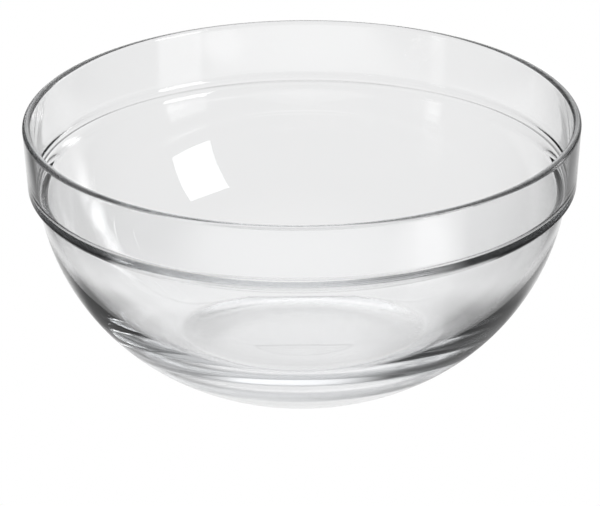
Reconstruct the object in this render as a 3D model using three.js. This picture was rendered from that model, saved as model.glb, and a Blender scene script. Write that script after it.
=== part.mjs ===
// A stacking bowl of clear pressed glass: a round, thick-walled bowl in one piece, with an upright band
// under its rim, a shoulder outside and a ledge inside where the band meets the round body, and a foot
// ring round a shallow hollow under the base.
// Millimetres, +Z up. The origin is the middle of the foot, on the surface that the bowl stands on.
import * as THREE from "three";

// Overall size
const RIM_DIAMETER = 230;
const HEIGHT = 107;

// Band under the rim: its height outside, how far it leans out from upright in degrees, and its wall,
// which ends in a full round at the rim
const BAND_HEIGHT = 28.4;
const BAND_LEAN = 3.2;
const BAND_WALL = 3.4;

// Shoulder outside, at the foot of the band: how far it stands out past the body, how far its underside
// drops on the way in, and the radii of its edge and of the hollow under it
const SHOULDER_OVERHANG = 3.6;
const SHOULDER_DROP = 0.9;
const SHOULDER_EDGE_ROUND = 2.4;
const SHOULDER_ROOT_ROUND = 2.3;

// Ledge inside, at the foot of the band: its depth under the rim, how far it drops on the way in, and the
// radii of its corner and of its lip
const LEDGE_DEPTH = 24.8;
const LEDGE_DROP = 2.5;
const LEDGE_CORNER_ROUND = 3.9;
const LEDGE_LIP_ROUND = 4.7;

// Round body: the radius of its outer curve, its wall under the ledge, the height of its floor above the
// foot, and the flat middle of that floor
const BODY_CURVE_RADIUS = 98;
const BODY_WALL = 4.3;
const FLOOR_HEIGHT = 7;
const FLOOR_FLAT_DIAMETER = 58;

// Foot ring: the diameter and the width that it would have with a sharp outer edge, the radius of the
// round that takes that edge off, and the depth of the hollow inside the ring
const FOOT_DIAMETER = 111;
const FOOT_WIDTH = 5;
const FOOT_ROUND = 11;
const HOLLOW_DEPTH = 0.8;

// Facets: the steps round the bowl, the most that a facet may leave its curve along the section, and the
// gap below which two points of the section are one
const STEPS_AROUND = 96;
const FACET_DEPTH = 0.08;
const SAME_POINT = 0.001;

const point = (radius, height) => new THREE.Vector2(radius, height);

// The direction square to an outward one, on its lower side.
const below = (way) => point(way.y, -way.x);

// The centre of the circle of a given radius through two points, on the left of the way between them.
function arcCentre(from, to, radius) {
  const halfWay = to.clone().sub(from).multiplyScalar(0.5);
  const depth = Math.sqrt(radius ** 2 - halfWay.lengthSq());
  const left = point(-halfWay.y, halfWay.x).setLength(depth);
  return halfWay.add(from).add(left);
}

// Where a straight line from a point inside a circle leaves the circle.
function leavesCircle(start, way, centre, radius) {
  const offset = start.clone().sub(centre);
  const along = offset.dot(way);
  const run = Math.sqrt(along ** 2 - offset.lengthSq() + radius ** 2) - along;
  return way.clone().multiplyScalar(run).add(start);
}

// The centre of a round that touches a straight stretch from below and a circle from outside.
function roundCentre(start, way, radius, circleCentre, circleRadius) {
  const beside = below(way).multiplyScalar(radius).add(start);
  return leavesCircle(beside, way, circleCentre, circleRadius + radius);
}

// Turns the section about a centre, the short way round, as far as the direction of a point.
function turnTo(section, centre, towards) {
  const from = section.currentPoint.clone().sub(centre);
  const to = towards.clone().sub(centre);
  section.absarc(centre.x, centre.y, from.length(), from.angle(), to.angle(), from.cross(to) < 0);
}

// Runs the section straight towards a corner and rounds it there towards the point ahead.
function roundCorner(section, corner, ahead, radius) {
  const back = section.currentPoint.clone().sub(corner).normalize();
  const onward = ahead.clone().sub(corner).normalize();
  const half = back.angleTo(onward) / 2;
  const reach = radius / Math.tan(half);
  const centre = back.clone().add(onward).setLength(radius / Math.sin(half)).add(corner);
  const start = back.multiplyScalar(reach).add(corner);
  section.lineTo(start.x, start.y);
  turnTo(section, centre, onward.multiplyScalar(reach).add(corner));
}

// Half of the bowl's section, from the axis under the base, up the outside, over the rim and down the
// inside to the axis on the floor.
function bowlSection() {
  const lean = THREE.MathUtils.degToRad(BAND_LEAN);
  const lipRadius = BAND_WALL / 2;
  const lip = point(RIM_DIAMETER / 2 - lipRadius, HEIGHT - lipRadius);
  const onBand = (height, side) =>
    point(lip.x + (side * lipRadius) / Math.cos(lean) + (height - lip.y) * Math.tan(lean), height);

  const footEdge = point(FOOT_DIAMETER / 2, 0);
  const hollowEdge = point(footEdge.x - FOOT_WIDTH, 0);
  const bandFoot = onBand(HEIGHT - BAND_HEIGHT, 1);
  const shoulderRoot = point(bandFoot.x - SHOULDER_OVERHANG, bandFoot.y - SHOULDER_DROP);
  const ledgeCorner = onBand(HEIGHT - LEDGE_DEPTH, -1);
  const ledgeLip = point(shoulderRoot.x - BODY_WALL, ledgeCorner.y - LEDGE_DROP);
  const floorEdge = point(FLOOR_FLAT_DIAMETER / 2, FLOOR_HEIGHT);
  const lipOutside = point(Math.cos(lean), -Math.sin(lean)).multiplyScalar(lipRadius).add(lip);
  const lipInside = lip.clone().multiplyScalar(2).sub(lipOutside);

  const bodyCentre = arcCentre(footEdge, shoulderRoot, BODY_CURVE_RADIUS);
  const rise = ledgeLip.clone().sub(floorEdge);
  const innerRadius = rise.lengthSq() / (2 * rise.y);
  const innerCentre = point(floorEdge.x, floorEdge.y + innerRadius);
  const domeRadius = (hollowEdge.lengthSq() + HOLLOW_DEPTH ** 2) / (2 * HOLLOW_DEPTH);
  const domeCentre = point(0, HOLLOW_DEPTH - domeRadius);

  const underside = bandFoot.clone().sub(shoulderRoot).normalize();
  const ledge = ledgeCorner.clone().sub(ledgeLip).normalize();
  const footCentre = leavesCircle(
    point(0, FOOT_ROUND),
    point(1, 0),
    bodyCentre,
    BODY_CURVE_RADIUS - FOOT_ROUND,
  );
  const rootCentre = roundCentre(
    shoulderRoot,
    underside,
    SHOULDER_ROOT_ROUND,
    bodyCentre,
    BODY_CURVE_RADIUS,
  );
  const ledgeLipCentre = roundCentre(ledgeLip, ledge, LEDGE_LIP_ROUND, innerCentre, innerRadius);
  const ledgeLipTop = ledgeLipCentre.clone().addScaledVector(below(ledge), -LEDGE_LIP_ROUND);

  const section = new THREE.Path();
  section.moveTo(0, HOLLOW_DEPTH);
  turnTo(section, domeCentre, hollowEdge);
  section.lineTo(footCentre.x, 0);
  turnTo(section, footCentre, footCentre.clone().multiplyScalar(2).sub(bodyCentre));
  turnTo(section, bodyCentre, rootCentre);
  turnTo(section, rootCentre, rootCentre.clone().sub(below(underside)));
  roundCorner(section, bandFoot, lipOutside, SHOULDER_EDGE_ROUND);
  section.lineTo(lipOutside.x, lipOutside.y);
  turnTo(section, lip, point(lip.x + lipRadius, lip.y));
  turnTo(section, lip, point(lip.x, lip.y + lipRadius));
  turnTo(section, lip, lipInside);
  roundCorner(section, ledgeCorner, ledgeLip, LEDGE_CORNER_ROUND);
  section.lineTo(ledgeLipTop.x, ledgeLipTop.y);
  turnTo(section, ledgeLipCentre, innerCentre);
  turnTo(section, innerCentre, floorEdge);
  section.lineTo(0, FLOOR_HEIGHT);
  return section;
}

// The facets that keep a curve of the section within FACET_DEPTH of its true shape.
function facetCount(curve) {
  const chordMiddle = curve.getPoint(0).lerp(curve.getPoint(1), 0.5);
  const depth = curve.getPoint(0.5).distanceTo(chordMiddle);
  return Math.max(1, Math.ceil(Math.sqrt(depth / FACET_DEPTH)));
}

// The section as points, with each point that two curves share taken once.
function sectionPoints(section) {
  const points = section.curves.flatMap((curve) => curve.getPoints(facetCount(curve)));
  return points.filter((here, i) => i === 0 || here.distanceTo(points[i - 1]) > SAME_POINT);
}

// Turned about the upright axis, which three.js calls Y and this part calls Z.
const bowlShape = new THREE.LatheGeometry(sectionPoints(bowlSection()), STEPS_AROUND);
bowlShape.rotateX(Math.PI / 2);

const clearGlass = new THREE.MeshStandardMaterial({
  color: 0xe8ecee,
  roughness: 0.05,
  metalness: 0,
  transparent: true,
  opacity: 0.4,
});

const glassBowl = new THREE.Mesh(bowlShape, clearGlass);
glassBowl.name = "glass_bowl";

const part = new THREE.Group();
part.name = "stacking_glass_bowl";
part.add(glassBowl);

export default part;
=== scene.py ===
"""The looks of a stacking bowl of clear pressed glass: its fine surface, its finish and a white studio."""

import math
from typing import NamedTuple

import bmesh
import bpy
from bpy.props import FloatProperty, FloatVectorProperty, IntProperty, PointerProperty
from bpy.types import Operator, Panel, PropertyGroup
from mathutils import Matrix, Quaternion, Vector


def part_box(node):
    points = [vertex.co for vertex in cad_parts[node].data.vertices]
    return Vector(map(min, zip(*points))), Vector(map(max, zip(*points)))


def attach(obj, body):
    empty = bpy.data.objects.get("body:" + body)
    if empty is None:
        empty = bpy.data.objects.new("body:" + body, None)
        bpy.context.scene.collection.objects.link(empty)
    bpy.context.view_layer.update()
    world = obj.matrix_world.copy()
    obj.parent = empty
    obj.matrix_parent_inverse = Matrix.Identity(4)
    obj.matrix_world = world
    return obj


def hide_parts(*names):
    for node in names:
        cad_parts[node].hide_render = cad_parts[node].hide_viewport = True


bl_info = {
    "name": "Stacking glass bowl",
    "version": (1, 0, 0),
    "blender": (4, 5, 0),
    "location": "3D View > Sidebar > Glass Bowl",
    "description": "Makes the glass, the finish and the studio of a stacking bowl round its packed model",
    "category": "Add Mesh",
}

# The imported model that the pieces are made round, its box before anything is added, and the bowl's upper
# corner
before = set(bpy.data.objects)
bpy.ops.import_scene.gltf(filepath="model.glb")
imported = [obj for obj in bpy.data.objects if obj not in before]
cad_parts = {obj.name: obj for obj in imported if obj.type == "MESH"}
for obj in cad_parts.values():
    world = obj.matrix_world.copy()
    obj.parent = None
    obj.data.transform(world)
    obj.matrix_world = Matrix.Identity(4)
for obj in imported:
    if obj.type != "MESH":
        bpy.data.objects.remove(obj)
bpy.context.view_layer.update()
_, BOWL_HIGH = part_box("glass_bowl")

# The photograph's width in pixels, and Blender's own sensor width in millimetres
PHOTO_WIDTH = 600
SENSOR_WIDTH = 36

# Facets along the section: the turn of one step, the fewest steps in a round, the longest step, and the
# short facet that keeps a straight stretch straight beside a round
ROUND_TURN = math.radians(7)
FEWEST_STEPS = 8
LONGEST_STEP = 0.0014
HOLDING_STEP = 0.0003
SAME_POINT = 1e-6

# Patterns of the finish: the detail of the noise in the waves and in the scuffs, and the noise at which a
# scuff starts and at which it is full
WAVE_DETAIL = 1
SCUFF_DETAIL = 3
SCUFF_START = 0.35
SCUFF_FULL = 0.75


def length(name, description, default):
    """A size in metres that the panel shows as a length."""
    return FloatProperty(name=name, description=description, default=default, unit="LENGTH", precision=5)


def angle(name, description, degrees):
    """An angle that is written here in degrees."""
    return FloatProperty(name=name, description=description, default=math.radians(degrees), subtype="ANGLE")


def light_level(name, description, default):
    """A strength of light, where 1 is the white of the picture."""
    return FloatProperty(name=name, description=description, default=default, min=0)


def colour(name, description, default):
    """A colour in linear light."""
    return FloatVectorProperty(
        name=name, description=description, default=default, subtype="COLOR", size=3, min=0, max=1
    )


class BowlSizes(PropertyGroup):
    """The sizes of the glass, in metres."""

    rim_diameter: length("Rim diameter", "Widest diameter of the bowl", 2 * BOWL_HIGH.x)
    height: length("Height", "From the foot to the top of the rim", BOWL_HIGH.z)
    band_height: length("Band height", "From the rim to the edge of the shoulder", 0.0284)
    band_lean: angle("Band lean", "How far the band leans out from upright", 3.2)
    band_wall: length("Band wall", "Thickness of the band, which ends in a full round", 0.0034)
    shoulder_overhang: length("Shoulder overhang", "How far the shoulder stands out past the body", 0.0036)
    shoulder_drop: length("Shoulder drop", "Drop of the shoulder's underside on the way in", 0.0009)
    shoulder_edge_round: length("Shoulder edge", "Radius of the shoulder's edge", 0.0024)
    shoulder_root_round: length("Shoulder root", "Radius of the hollow under the shoulder", 0.0023)
    ledge_depth: length("Ledge depth", "From the rim down to the ledge inside", 0.0248)
    ledge_drop: length("Ledge drop", "Drop of the ledge on the way in", 0.0025)
    ledge_corner_round: length("Ledge corner", "Radius of the corner above the ledge", 0.0039)
    ledge_lip_round: length("Ledge lip", "Radius of the ledge's inner lip", 0.0047)
    body_curve_radius: length("Body curve", "Radius of the body's outer curve", 0.098)
    body_wall: length("Body wall", "Thickness of the wall under the ledge", 0.0043)
    floor_height: length("Floor height", "Height of the floor inside above the foot", 0.007)
    floor_flat_diameter: length("Floor flat", "Diameter of the flat middle of the floor", 0.058)
    foot_diameter: length("Foot diameter", "Outer diameter of the foot ring", 0.111)
    foot_width: length("Foot width", "Width of the foot ring", 0.005)
    foot_round: length("Foot round", "Radius of the foot ring's outer edge", 0.011)
    hollow_depth: length("Hollow depth", "Depth of the hollow under the base", 0.0008)
    steps_around: IntProperty(name="Steps", description="Facets round the bowl", default=256, min=32)


class GlassFinish(PropertyGroup):
    """The finish of the glass."""

    tint: colour("Tint", "Colour of the light that comes through", (0.995, 0.997, 1.0))
    depth_tint: colour("Depth tint", "Colour that long ways through the glass take on", (0.79, 0.81, 0.83))
    depth_density: FloatProperty(name="Depth", description="Absorption in each metre", default=4, min=0)
    index: FloatProperty(
        name="Index", description="Refractive index of the glass", default=1.5, min=1, max=2
    )
    wave_size: length("Wave size", "Width of the waves that pressing leaves", 0.03)
    wave_height: length("Wave height", "Height of the waves that pressing leaves", 0.00003)
    wear_height: length("Wear height", "How far up the foot has rubbed", 0.0016)
    wear_grain: length("Wear grain", "Width of the scuffs on the foot", 0.0012)
    wear_roughness: FloatProperty(
        name="Foot wear", description="Roughness of the foot where it has rubbed", default=0.4, min=0, max=1
    )


class CameraSettings(PropertyGroup):
    """Where the camera stands and what it looks at."""

    distance: length("Camera distance", "From the lens to the aim point", 1.5)
    pitch: angle("Camera pitch", "How far the camera looks down", 23.95)
    roll: angle("Camera roll", "How far the camera leans to its right", 0.5)
    focal_pixels: FloatProperty(
        name="Focal length", description="In pixels of the photograph", default=3582, subtype="PIXEL"
    )
    aim_height: length("Aim height", "Height of the point in the middle of the picture", 0.0452)
    aim_left: length("Aim left", "How far that point lies to the left of the axis", 0.0012)


class FloorSettings(PropertyGroup):
    """The glossy white floor and the light of its own that it sends to the glass, with a painted pool of
    light and painted shade.
    """

    floor_size: length("Floor size", "Width of the floor", 12.0)
    floor_gap: length("Floor gap", "Air between the foot and the floor", 0.00005)
    gloss_index: FloatProperty(
        name="Gloss index", description="Refractive index of the floor's gloss", default=1.75, min=1
    )
    gloss_roughness: FloatProperty(
        name="Gloss roughness", description="Roughness of the floor's gloss", default=0.15, min=0, max=1
    )
    # Painted light: the floor glows by itself for the glass, as a lit strip that is brighter in front of
    # the bowl
    strip_light: light_level("Strip light", "Light of the lit strip, which runs from front to back", 0.88)
    strip_width: length("Strip width", "Width of the strip", 0.25)
    strip_edge: length("Strip edge", "How far the strip's light fades out at each side", 0.09)
    strip_left: length("Strip left", "How far the strip's middle lies to the left of the axis", 0.01)
    beside_light: light_level("Beside light", "Light of the floor beside the strip", 0.15)
    front_light: light_level("Front light", "Light of the strip in front of the bowl", 1.35)
    front_start: length("Front start", "How far in front of the axis the strip brightens", 0.1)
    front_fade: length("Front fade", "How far the strip goes on brightening there", 0.15)
    # Painted light: a pool of light painted into the floor's glow, where the right softbox would throw one
    pool_light: light_level("Pool light", "Light of the pool that the right softbox throws", 2)
    pool_right: length("Pool right", "How far to the right of the axis the pool lies", 0.175)
    pool_front: length("Pool front", "How far in front of the axis the pool lies", 0.2)
    pool_radius: length("Pool radius", "Radius of the pool", 0.02)
    pool_edge: length("Pool edge", "How far the pool fades out", 0.06)
    # Painted shade: the floor's glow is dimmed under the foot and in a ring under the sides of the body, a
    # painted shadow of the bowl
    foot_shade: light_level("Foot shade", "Light of the floor under the foot", 0.74)
    foot_shade_radius: length("Foot shade radius", "Radius of the shade under the foot", 0.03)
    foot_shade_edge: length("Foot shade edge", "How far that shade fades out", 0.035)
    side_shade: light_level("Side shade", "Light of the floor under the sides of the body", 0.26)
    side_shade_inside: length("Side shade inside", "Inner radius of that shade, part of a ring", 0.09)
    side_shade_outside: length("Side shade outside", "Outer radius of that shade", 0.122)
    side_shade_edge: length("Side shade edge", "How far that shade fades out, inward and outward", 0.028)
    side_shade_back: length("Side shade back", "How far behind the axis that shade fades out", 0.05)
    side_shade_start: length("Side shade start", "How far to each side that shade starts", 0.035)
    side_shade_fade: length("Side shade fade", "How far it goes on growing darker there", 0.03)


class RoomSettings(PropertyGroup):
    """The room round the bowl."""

    bare_white: light_level("Bare white", "Light of the floor and the room where the camera sees them", 1)
    room_light: light_level("Room light", "Light that the room sends to the glass", 0.02)
    light_bounces: IntProperty(
        name="Bounces", description="Most turns of a light ray in the glass", default=32, min=4
    )


class Softbox(NamedTuple):
    """A flat lit panel that faces the bowl; angles in degrees, sizes in metres, radiance 1 for white."""

    name: str
    azimuth: float
    elevation: float
    lean: float
    distance: float
    width: float
    height: float
    radiance: float


class Glow(NamedTuple):
    """A soft round glow on the walls of the room; angles in degrees."""

    azimuth: float
    elevation: float
    reach: float
    strength: float


# The azimuth is 0 on the right, 90 behind the bowl and 270 at the camera. A panel leans to the left, as
# seen from the bowl. The glows lie behind the bowl, low behind it, behind it on the right, low on the right
# and overhead.
SOFTBOXES = (
    Softbox(
        "right_softbox",
        azimuth=328,
        elevation=25,
        lean=8,
        distance=1.2,
        width=0.44,
        height=0.98,
        radiance=5,
    ),
    Softbox(
        "left_softbox",
        azimuth=206,
        elevation=8,
        lean=0,
        distance=1.2,
        width=0.15,
        height=0.42,
        radiance=3,
    ),
)
GLOWS = (
    Glow(azimuth=80, elevation=27, reach=36, strength=1.3),
    Glow(azimuth=86, elevation=3, reach=13, strength=1),
    Glow(azimuth=48, elevation=28, reach=22, strength=0.7),
    Glow(azimuth=33, elevation=8, reach=8, strength=5),
    Glow(azimuth=60, elevation=85, reach=45, strength=0.55),
)


def on_section(place):
    """A point of the section, given by its radius and height, in the plane of X and Z."""
    return Vector((place.x, 0, place.y))


class SectionPen:
    """Draws half of a section as one chain of edges."""

    def __init__(self, mesh, start):
        self.mesh = mesh
        self.tip = bmesh.ops.create_vert(mesh, co=on_section(start))["vert"][0]

    def place(self):
        """Where the pen is, as radius and height."""
        return Vector((self.tip.co.x, self.tip.co.z))

    def line_to(self, end):
        """A straight stretch, with a short facet at each end to hold it straight where there is room."""
        start = self.place()
        span = (end - start).length
        if span < SAME_POINT:
            return
        stops = [span]
        if span > 3 * HOLDING_STEP:
            stops = [HOLDING_STEP, span - HOLDING_STEP, span]
        for stop in stops:
            made = bmesh.ops.extrude_vert_indiv(self.mesh, verts=[self.tip])
            self.tip = made["verts"][0]
            step = on_section(start.lerp(end, stop / span)) - self.tip.co
            bmesh.ops.translate(self.mesh, verts=[self.tip], vec=step)

    def turn_to(self, centre, towards):
        """An arc about a centre, the short way round, as far as the direction of a point."""
        start = self.place() - centre
        end = towards - centre
        sweep = math.atan2(start.cross(end), start.dot(end))
        by_turn = math.ceil(abs(sweep) / ROUND_TURN)
        by_step = math.ceil(start.length * abs(sweep) / LONGEST_STEP)
        made = bmesh.ops.spin(
            self.mesh,
            geom=[self.tip],
            cent=on_section(centre),
            axis=(0, -1, 0),
            angle=sweep,
            steps=max(FEWEST_STEPS, by_turn, by_step),
        )
        self.tip = made["geom_last"][0]

    def round_corner(self, corner, ahead, radius):
        """A straight stretch towards a corner, and a round there towards the point ahead."""
        back = (self.place() - corner).normalized()
        onward = (ahead - corner).normalized()
        half = back.angle(onward) / 2
        reach = radius / math.tan(half)
        self.line_to(corner + back * reach)
        centre = corner + (back + onward).normalized() * radius / math.sin(half)
        self.turn_to(centre, corner + onward * reach)


def arc_centre(start, end, radius):
    """The centre of a circle of a given radius through two points, on the left of the way between them."""
    half_way = (end - start) / 2
    depth = math.sqrt(radius**2 - half_way.length_squared)
    return start + half_way + Vector((-half_way.y, half_way.x)).normalized() * depth


def below(way):
    """The direction square to an outward way, on its lower side."""
    return Vector((way.y, -way.x))


def leaves_circle(start, way, centre, radius):
    """Where a straight line from a point inside a circle leaves the circle."""
    offset = start - centre
    along = offset.dot(way)
    return start + way * (math.sqrt(along**2 - offset.length_squared + radius**2) - along)


def round_centre(start, way, radius, circle_centre, circle_radius):
    """The centre of a round that touches a straight stretch from below and a circle from outside."""
    return leaves_circle(start + below(way) * radius, way, circle_centre, circle_radius + radius)


def draw_bowl_section(mesh, sizes):
    """Half of the bowl's section: under the base, up the outside, over the rim and down the inside."""
    lip_radius = sizes.band_wall / 2
    lip = Vector((sizes.rim_diameter / 2 - lip_radius, sizes.height - lip_radius))

    def on_band(height, side):
        """A point on the band's outer wall, or on its inner wall where the side is -1."""
        reach = side * lip_radius / math.cos(sizes.band_lean)
        return Vector((lip.x + reach + (height - lip.y) * math.tan(sizes.band_lean), height))

    foot_edge = Vector((sizes.foot_diameter / 2, 0))
    hollow_edge = foot_edge - Vector((sizes.foot_width, 0))
    band_foot = on_band(sizes.height - sizes.band_height, 1)
    shoulder_root = band_foot - Vector((sizes.shoulder_overhang, sizes.shoulder_drop))
    ledge_corner = on_band(sizes.height - sizes.ledge_depth, -1)
    ledge_lip = Vector((shoulder_root.x - sizes.body_wall, ledge_corner.y - sizes.ledge_drop))
    floor_edge = Vector((sizes.floor_flat_diameter / 2, sizes.floor_height))
    lip_outside = lip + lip_radius * Vector((math.cos(sizes.band_lean), -math.sin(sizes.band_lean)))
    lip_inside = 2 * lip - lip_outside

    body_centre = arc_centre(foot_edge, shoulder_root, sizes.body_curve_radius)
    rise = ledge_lip - floor_edge
    inner_radius = rise.length_squared / (2 * rise.y)
    inner_centre = floor_edge + Vector((0, inner_radius))
    dome_radius = (hollow_edge.length_squared + sizes.hollow_depth**2) / (2 * sizes.hollow_depth)
    dome_centre = Vector((0, sizes.hollow_depth - dome_radius))

    outward = Vector((1, 0))
    underside = (band_foot - shoulder_root).normalized()
    ledge = (ledge_corner - ledge_lip).normalized()
    foot_centre = leaves_circle(
        Vector((0, sizes.foot_round)), outward, body_centre, sizes.body_curve_radius - sizes.foot_round
    )
    root_centre = round_centre(
        shoulder_root, underside, sizes.shoulder_root_round, body_centre, sizes.body_curve_radius
    )
    ledge_lip_centre = round_centre(ledge_lip, ledge, sizes.ledge_lip_round, inner_centre, inner_radius)

    pen = SectionPen(mesh, Vector((0, sizes.hollow_depth)))
    pen.turn_to(dome_centre, hollow_edge)
    pen.line_to(foot_centre + below(outward) * sizes.foot_round)
    pen.turn_to(foot_centre, 2 * foot_centre - body_centre)
    pen.turn_to(body_centre, root_centre)
    pen.turn_to(root_centre, root_centre - below(underside))
    pen.round_corner(band_foot, lip_outside, sizes.shoulder_edge_round)
    pen.line_to(lip_outside)
    pen.turn_to(lip, lip + Vector((0, lip_radius)))
    pen.turn_to(lip, lip_inside)
    pen.round_corner(ledge_corner, ledge_lip, sizes.ledge_corner_round)
    pen.line_to(ledge_lip_centre - below(ledge) * sizes.ledge_lip_round)
    pen.turn_to(ledge_lip_centre, inner_centre)
    pen.turn_to(inner_centre, floor_edge)
    pen.line_to(Vector((0, sizes.floor_height)))


def make_glass_mesh(sizes):
    """The section turned round the axis, with its poles closed."""
    mesh = bmesh.new()
    draw_bowl_section(mesh, sizes)
    bmesh.ops.spin(
        mesh,
        geom=mesh.verts[:] + mesh.edges[:],
        cent=(0, 0, 0),
        axis=(0, 0, 1),
        angle=math.tau,
        steps=sizes.steps_around,
        use_merge=True,
    )
    bmesh.ops.remove_doubles(mesh, verts=mesh.verts[:], dist=SAME_POINT)
    bmesh.ops.recalc_face_normals(mesh, faces=mesh.faces[:])
    for face in mesh.faces:
        face.smooth = True
    data = bpy.data.meshes.new("clear_glass_bowl")
    mesh.to_mesh(data)
    mesh.free()
    return data


# Socket names whose capitals differ from those of a title
SOCKET_NAMES = {"ior": "IOR"}


def new_node(tree, kind, **values):
    """A shader node, with plain values set on its input sockets."""
    node = tree.nodes.new(kind)
    for socket, value in values.items():
        node.inputs[SOCKET_NAMES.get(socket, socket.replace("_", " ").title())].default_value = value
    return node


def along_axis(tree, places, axis):
    """One coordinate of places."""
    node = tree.nodes.new("ShaderNodeSeparateXYZ")
    tree.links.new(places, node.inputs["Vector"])
    return node.outputs[axis]


def pressing_waves(tree, places, finish):
    """The slight waves that pressing leaves, as a normal."""
    waves = new_node(tree, "ShaderNodeTexNoise", scale=1 / finish.wave_size, detail=WAVE_DETAIL)
    bump = new_node(tree, "ShaderNodeBump", strength=1.0, distance=finish.wave_height)
    tree.links.new(places, waves.inputs["Vector"])
    tree.links.new(waves.outputs["Fac"], bump.inputs["Height"])
    return bump.outputs["Normal"]


def foot_wear(tree, places, finish):
    """Roughness of the scuffed ring that the bowl stands on; the rest is polished."""
    scuffs = new_node(tree, "ShaderNodeTexNoise", scale=1 / finish.wear_grain, detail=SCUFF_DETAIL)
    worn = new_node(
        tree,
        "ShaderNodeMapRange",
        from_min=SCUFF_START,
        from_max=SCUFF_FULL,
        to_max=finish.wear_roughness,
    )
    ring = new_node(tree, "ShaderNodeMapRange", from_min=finish.wear_height, from_max=0.0)
    rough = tree.nodes.new("ShaderNodeMath")
    rough.operation = "MULTIPLY"
    tree.links.new(places, scuffs.inputs["Vector"])
    tree.links.new(scuffs.outputs["Fac"], worn.inputs["Value"])
    tree.links.new(along_axis(tree, places, "Z"), ring.inputs["Value"])
    tree.links.new(ring.outputs["Result"], rough.inputs[0])
    tree.links.new(worn.outputs["Result"], rough.inputs[1])
    return rough.outputs["Value"]


def clear_glass(finish):
    """Clear glass with the slight waves of pressing, a scuffed foot and a cool tint where it is deep."""
    material = bpy.data.materials.new("clear_pressed_glass")
    material.use_nodes = True
    tree = material.node_tree
    shader = tree.nodes["Principled BSDF"]
    shader.inputs["Base Color"].default_value = (*finish.tint, 1)
    shader.inputs["IOR"].default_value = finish.index
    shader.inputs["Transmission Weight"].default_value = 1
    places = tree.nodes.new("ShaderNodeTexCoord").outputs["Object"]
    tree.links.new(foot_wear(tree, places, finish), shader.inputs["Roughness"])
    tree.links.new(pressing_waves(tree, places, finish), shader.inputs["Normal"])
    depth = new_node(tree, "ShaderNodeVolumeAbsorption", density=finish.depth_density)
    depth.inputs["Color"].default_value = (*finish.depth_tint, 1)
    tree.links.new(depth.outputs["Volume"], tree.nodes["Material Output"].inputs["Volume"])
    return material


class AddGlassBowl(Operator):
    """Make the bowl's glass in place of its plain solid"""

    bl_idname = "glass_bowl.add_bowl"
    bl_label = "Add Glass Bowl"
    bl_options = {"REGISTER", "UNDO"}

    def execute(self, context):
        bowl = bpy.data.objects.new("clear_glass_bowl", make_glass_mesh(context.scene.bowl_sizes))
        bowl.data.materials.append(clear_glass(context.scene.bowl_finish))
        context.collection.objects.link(bowl)
        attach(bowl, "root")
        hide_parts("glass_bowl")
        return {"FINISHED"}


def fade(tree, value, start, run, first, last):
    """A strength that goes softly from one to another, each a number or a socket, over a run of a value."""
    node = new_node(tree, "ShaderNodeMapRange", from_min=start, from_max=start + run)
    node.interpolation_type = "SMOOTHSTEP"
    tree.links.new(value, node.inputs["Value"])
    for name, strength in (("To Min", first), ("To Max", last)):
        if isinstance(strength, bpy.types.NodeSocket):
            tree.links.new(strength, node.inputs[name])
        else:
            node.inputs[name].default_value = strength
    return node.outputs["Result"]


def vector_step(tree, operation, places, other=(0, 0, 0)):
    """A step of vector arithmetic on places, with a fixed vector where it needs one."""
    node = tree.nodes.new("ShaderNodeVectorMath")
    node.operation = operation
    node.inputs[1].default_value = other
    tree.links.new(places, node.inputs[0])
    return node.outputs["Value" if operation in ("LENGTH", "DISTANCE", "DOT_PRODUCT") else "Vector"]


def lit_strip(tree, floor):
    """The floor's own light: a strip from front to back, with a painted pool of light and the bowl's
    painted shade.
    """
    places = tree.nodes.new("ShaderNodeTexCoord").outputs["Object"]
    on_strip = vector_step(tree, "ADD", places, (floor.strip_left, 0, 0))
    behind = along_axis(tree, places, "Y")
    beside = along_axis(tree, vector_step(tree, "ABSOLUTE", on_strip), "X")
    from_axis = vector_step(tree, "LENGTH", places)
    from_middle = vector_step(tree, "LENGTH", on_strip)
    from_pool = vector_step(tree, "DISTANCE", places, (floor.pool_right, -floor.pool_front, 0))
    # Painted light: the strip's own glow, brighter in front of the bowl
    light = fade(tree, behind, -floor.front_start, -floor.front_fade, floor.strip_light, floor.front_light)
    # Painted shade: the bowl's shadow under the foot and in a ring under the sides of the body, painted
    # into the glow
    light = fade(tree, from_axis, floor.foot_shade_radius, floor.foot_shade_edge, floor.foot_shade, light)
    ring = fade(tree, from_middle, floor.side_shade_inside, -floor.side_shade_edge, floor.side_shade, light)
    ring = fade(tree, from_middle, floor.side_shade_outside, floor.side_shade_edge, ring, light)
    ring = fade(tree, behind, 0, floor.side_shade_back, ring, light)
    light = fade(tree, beside, floor.side_shade_start, floor.side_shade_fade, light, ring)
    light = fade(tree, beside, floor.strip_width / 2, floor.strip_edge, light, floor.beside_light)
    # Painted light: the pool of light on the floor's glow
    light = fade(tree, from_pool, floor.pool_radius, floor.pool_edge, floor.pool_light, light)
    emission = tree.nodes.new("ShaderNodeEmission")
    tree.links.new(light, emission.inputs["Strength"])
    return emission.outputs["Emission"]


def mix_shaders(tree, share, first, second):
    """A blend of two shaders, which is all the second where the share is 1."""
    mix = tree.nodes.new("ShaderNodeMixShader")
    tree.links.new(share, mix.inputs[0])
    tree.links.new(first, mix.inputs[1])
    tree.links.new(second, mix.inputs[2])
    return mix.outputs["Shader"]


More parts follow.
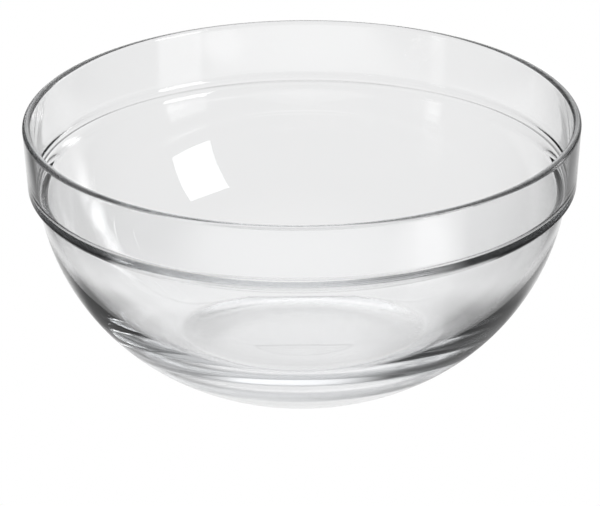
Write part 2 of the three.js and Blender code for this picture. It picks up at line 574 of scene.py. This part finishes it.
def white_floor(floor, bare_white):
    """A glossy white board that is bare white where the camera sees it."""
    material = bpy.data.materials.new("white_floor")
    material.use_nodes = True
    tree = material.node_tree
    tree.nodes.remove(tree.nodes["Principled BSDF"])
    gloss = new_node(tree, "ShaderNodeFresnel", ior=floor.gloss_index)
    mirror = new_node(tree, "ShaderNodeBsdfGlossy", roughness=floor.gloss_roughness)
    bare = new_node(tree, "ShaderNodeEmission", strength=bare_white)
    path = tree.nodes.new("ShaderNodeLightPath")
    board = mix_shaders(tree, gloss.outputs["Fac"], lit_strip(tree, floor), mirror.outputs["BSDF"])
    seen = mix_shaders(tree, path.outputs["Is Camera Ray"], board, bare.outputs["Emission"])
    tree.links.new(seen, tree.nodes["Material Output"].inputs["Surface"])
    return material


def add_floor(floor, bare_white):
    """The board that the bowl stands on."""
    mesh = bmesh.new()
    bmesh.ops.create_grid(mesh, x_segments=1, y_segments=1, size=floor.floor_size / 2)
    data = bpy.data.meshes.new("studio_floor")
    mesh.to_mesh(data)
    mesh.free()
    data.materials.append(white_floor(floor, bare_white))
    board = bpy.data.objects.new("studio_floor", data)
    board.location.z = -floor.floor_gap
    bpy.context.collection.objects.link(board)


def towards(azimuth, elevation):
    """The direction of a place in the room, seen from the bowl; angles in degrees."""
    turn, rise = math.radians(azimuth), math.radians(elevation)
    return Vector((math.cos(rise) * math.cos(turn), math.cos(rise) * math.sin(turn), math.sin(rise)))


def add_softbox(box):
    """A soft rectangular light that faces the bowl and isn't seen bare or through the glass."""
    data = bpy.data.lights.new(box.name, "AREA")
    data.shape = "RECTANGLE"
    data.size = box.width
    data.size_y = box.height
    data.energy = box.radiance * math.pi * box.width * box.height
    light = bpy.data.objects.new(box.name, data)
    light.location = box.distance * towards(box.azimuth, box.elevation)
    facing = (-light.location).to_track_quat("-Z", "Y")
    light.rotation_euler = (facing @ Quaternion((0, 0, 1), -math.radians(box.lean))).to_euler()
    light.visible_camera = False
    light.visible_transmission = False
    bpy.context.collection.objects.link(light)


def room_glows(tree, base):
    """The room's light: a dim base, and the glows on its walls, each laid over those before it."""
    ways = tree.nodes.new("ShaderNodeTexCoord").outputs["Generated"]
    light = base
    for spot in GLOWS:
        nearness = vector_step(tree, "DOT_PRODUCT", ways, towards(spot.azimuth, spot.elevation))
        light = fade(tree, nearness, 1, math.cos(math.radians(spot.reach)) - 1, spot.strength, light)
    return light


def seen_or_sent(tree, seen, sent):
    """A strength of light: one where the camera sees it bare, another for what is sent to the glass."""
    path = tree.nodes.new("ShaderNodeLightPath")
    strength = new_node(tree, "ShaderNodeMapRange", to_max=seen)
    tree.links.new(path.outputs["Is Camera Ray"], strength.inputs["Value"])
    tree.links.new(sent, strength.inputs["To Min"])
    return strength.outputs["Result"]


def add_room(room):
    """A dim room, which is white where the camera sees it."""
    world = bpy.data.worlds.new("studio_room")
    world.use_nodes = True
    tree = world.node_tree
    background = tree.nodes["Background"]
    background.inputs["Color"].default_value = (1, 1, 1, 1)
    strength = seen_or_sent(tree, room.bare_white, room_glows(tree, room.room_light))
    tree.links.new(strength, background.inputs["Strength"])
    bpy.context.scene.world = world


def add_camera(view):
    """A long lens at the photograph's viewing angle."""
    data = bpy.data.cameras.new("studio_camera")
    data.sensor_width = SENSOR_WIDTH
    data.lens = view.focal_pixels * SENSOR_WIDTH / PHOTO_WIDTH
    camera = bpy.data.objects.new("studio_camera", data)
    back = Vector((0, -math.cos(view.pitch), math.sin(view.pitch)))
    aim = Vector((-view.aim_left, 0, view.aim_height))
    camera.location = aim + back * view.distance
    camera.rotation_euler = (math.pi / 2 - view.pitch, 0, 0)
    camera.rotation_euler.rotate_axis("Z", -view.roll)
    bpy.context.collection.objects.link(camera)
    bpy.context.scene.camera = camera


class AddStudio(Operator):
    """Make the floor, the lights, the room and the camera"""

    bl_idname = "glass_bowl.add_studio"
    bl_label = "Add Studio"
    bl_options = {"REGISTER", "UNDO"}

    def execute(self, context):
        scene = context.scene
        add_floor(scene.bowl_floor, scene.bowl_room.bare_white)
        add_room(scene.bowl_room)
        for box in SOFTBOXES:
            add_softbox(box)
        add_camera(scene.bowl_camera)
        scene.view_settings.view_transform = "Standard"
        for limit in ("max_bounces", "glossy_bounces", "transmission_bounces"):
            setattr(scene.cycles, limit, scene.bowl_room.light_bounces)
        return {"FINISHED"}


SETTINGS = {
    "bowl_sizes": BowlSizes,
    "bowl_finish": GlassFinish,
    "bowl_camera": CameraSettings,
    "bowl_floor": FloorSettings,
    "bowl_room": RoomSettings,
}
OPERATORS = (AddGlassBowl, AddStudio)


class BowlPanel(Panel):
    """The bowl's sizes, its finish and its studio"""

    bl_idname = "VIEW3D_PT_glass_bowl"
    bl_label = "Glass Bowl"
    bl_space_type = "VIEW_3D"
    bl_region_type = "UI"
    bl_category = "Glass Bowl"

    def draw(self, context):
        for operator in OPERATORS:
            self.layout.operator(operator.bl_idname)
        for name, group in SETTINGS.items():
            column = self.layout.column(align=True)
            for setting in group.__annotations__:
                column.prop(getattr(context.scene, name), setting)


CLASSES = (*SETTINGS.values(), *OPERATORS, BowlPanel)


def register():
    """Makes the classes and the settings known to Blender."""
    for each in CLASSES:
        bpy.utils.register_class(each)
    for name, group in SETTINGS.items():
        setattr(bpy.types.Scene, name, PointerProperty(type=group))


def unregister():
    """Takes the settings and the classes away again."""
    for name in SETTINGS:
        delattr(bpy.types.Scene, name)
    for each in reversed(CLASSES):
        bpy.utils.unregister_class(each)


def main():
    """Makes the bowl and its studio."""
    register()
    bpy.ops.glass_bowl.add_bowl()
    bpy.ops.glass_bowl.add_studio()


if __name__ == "__main__":
    main()
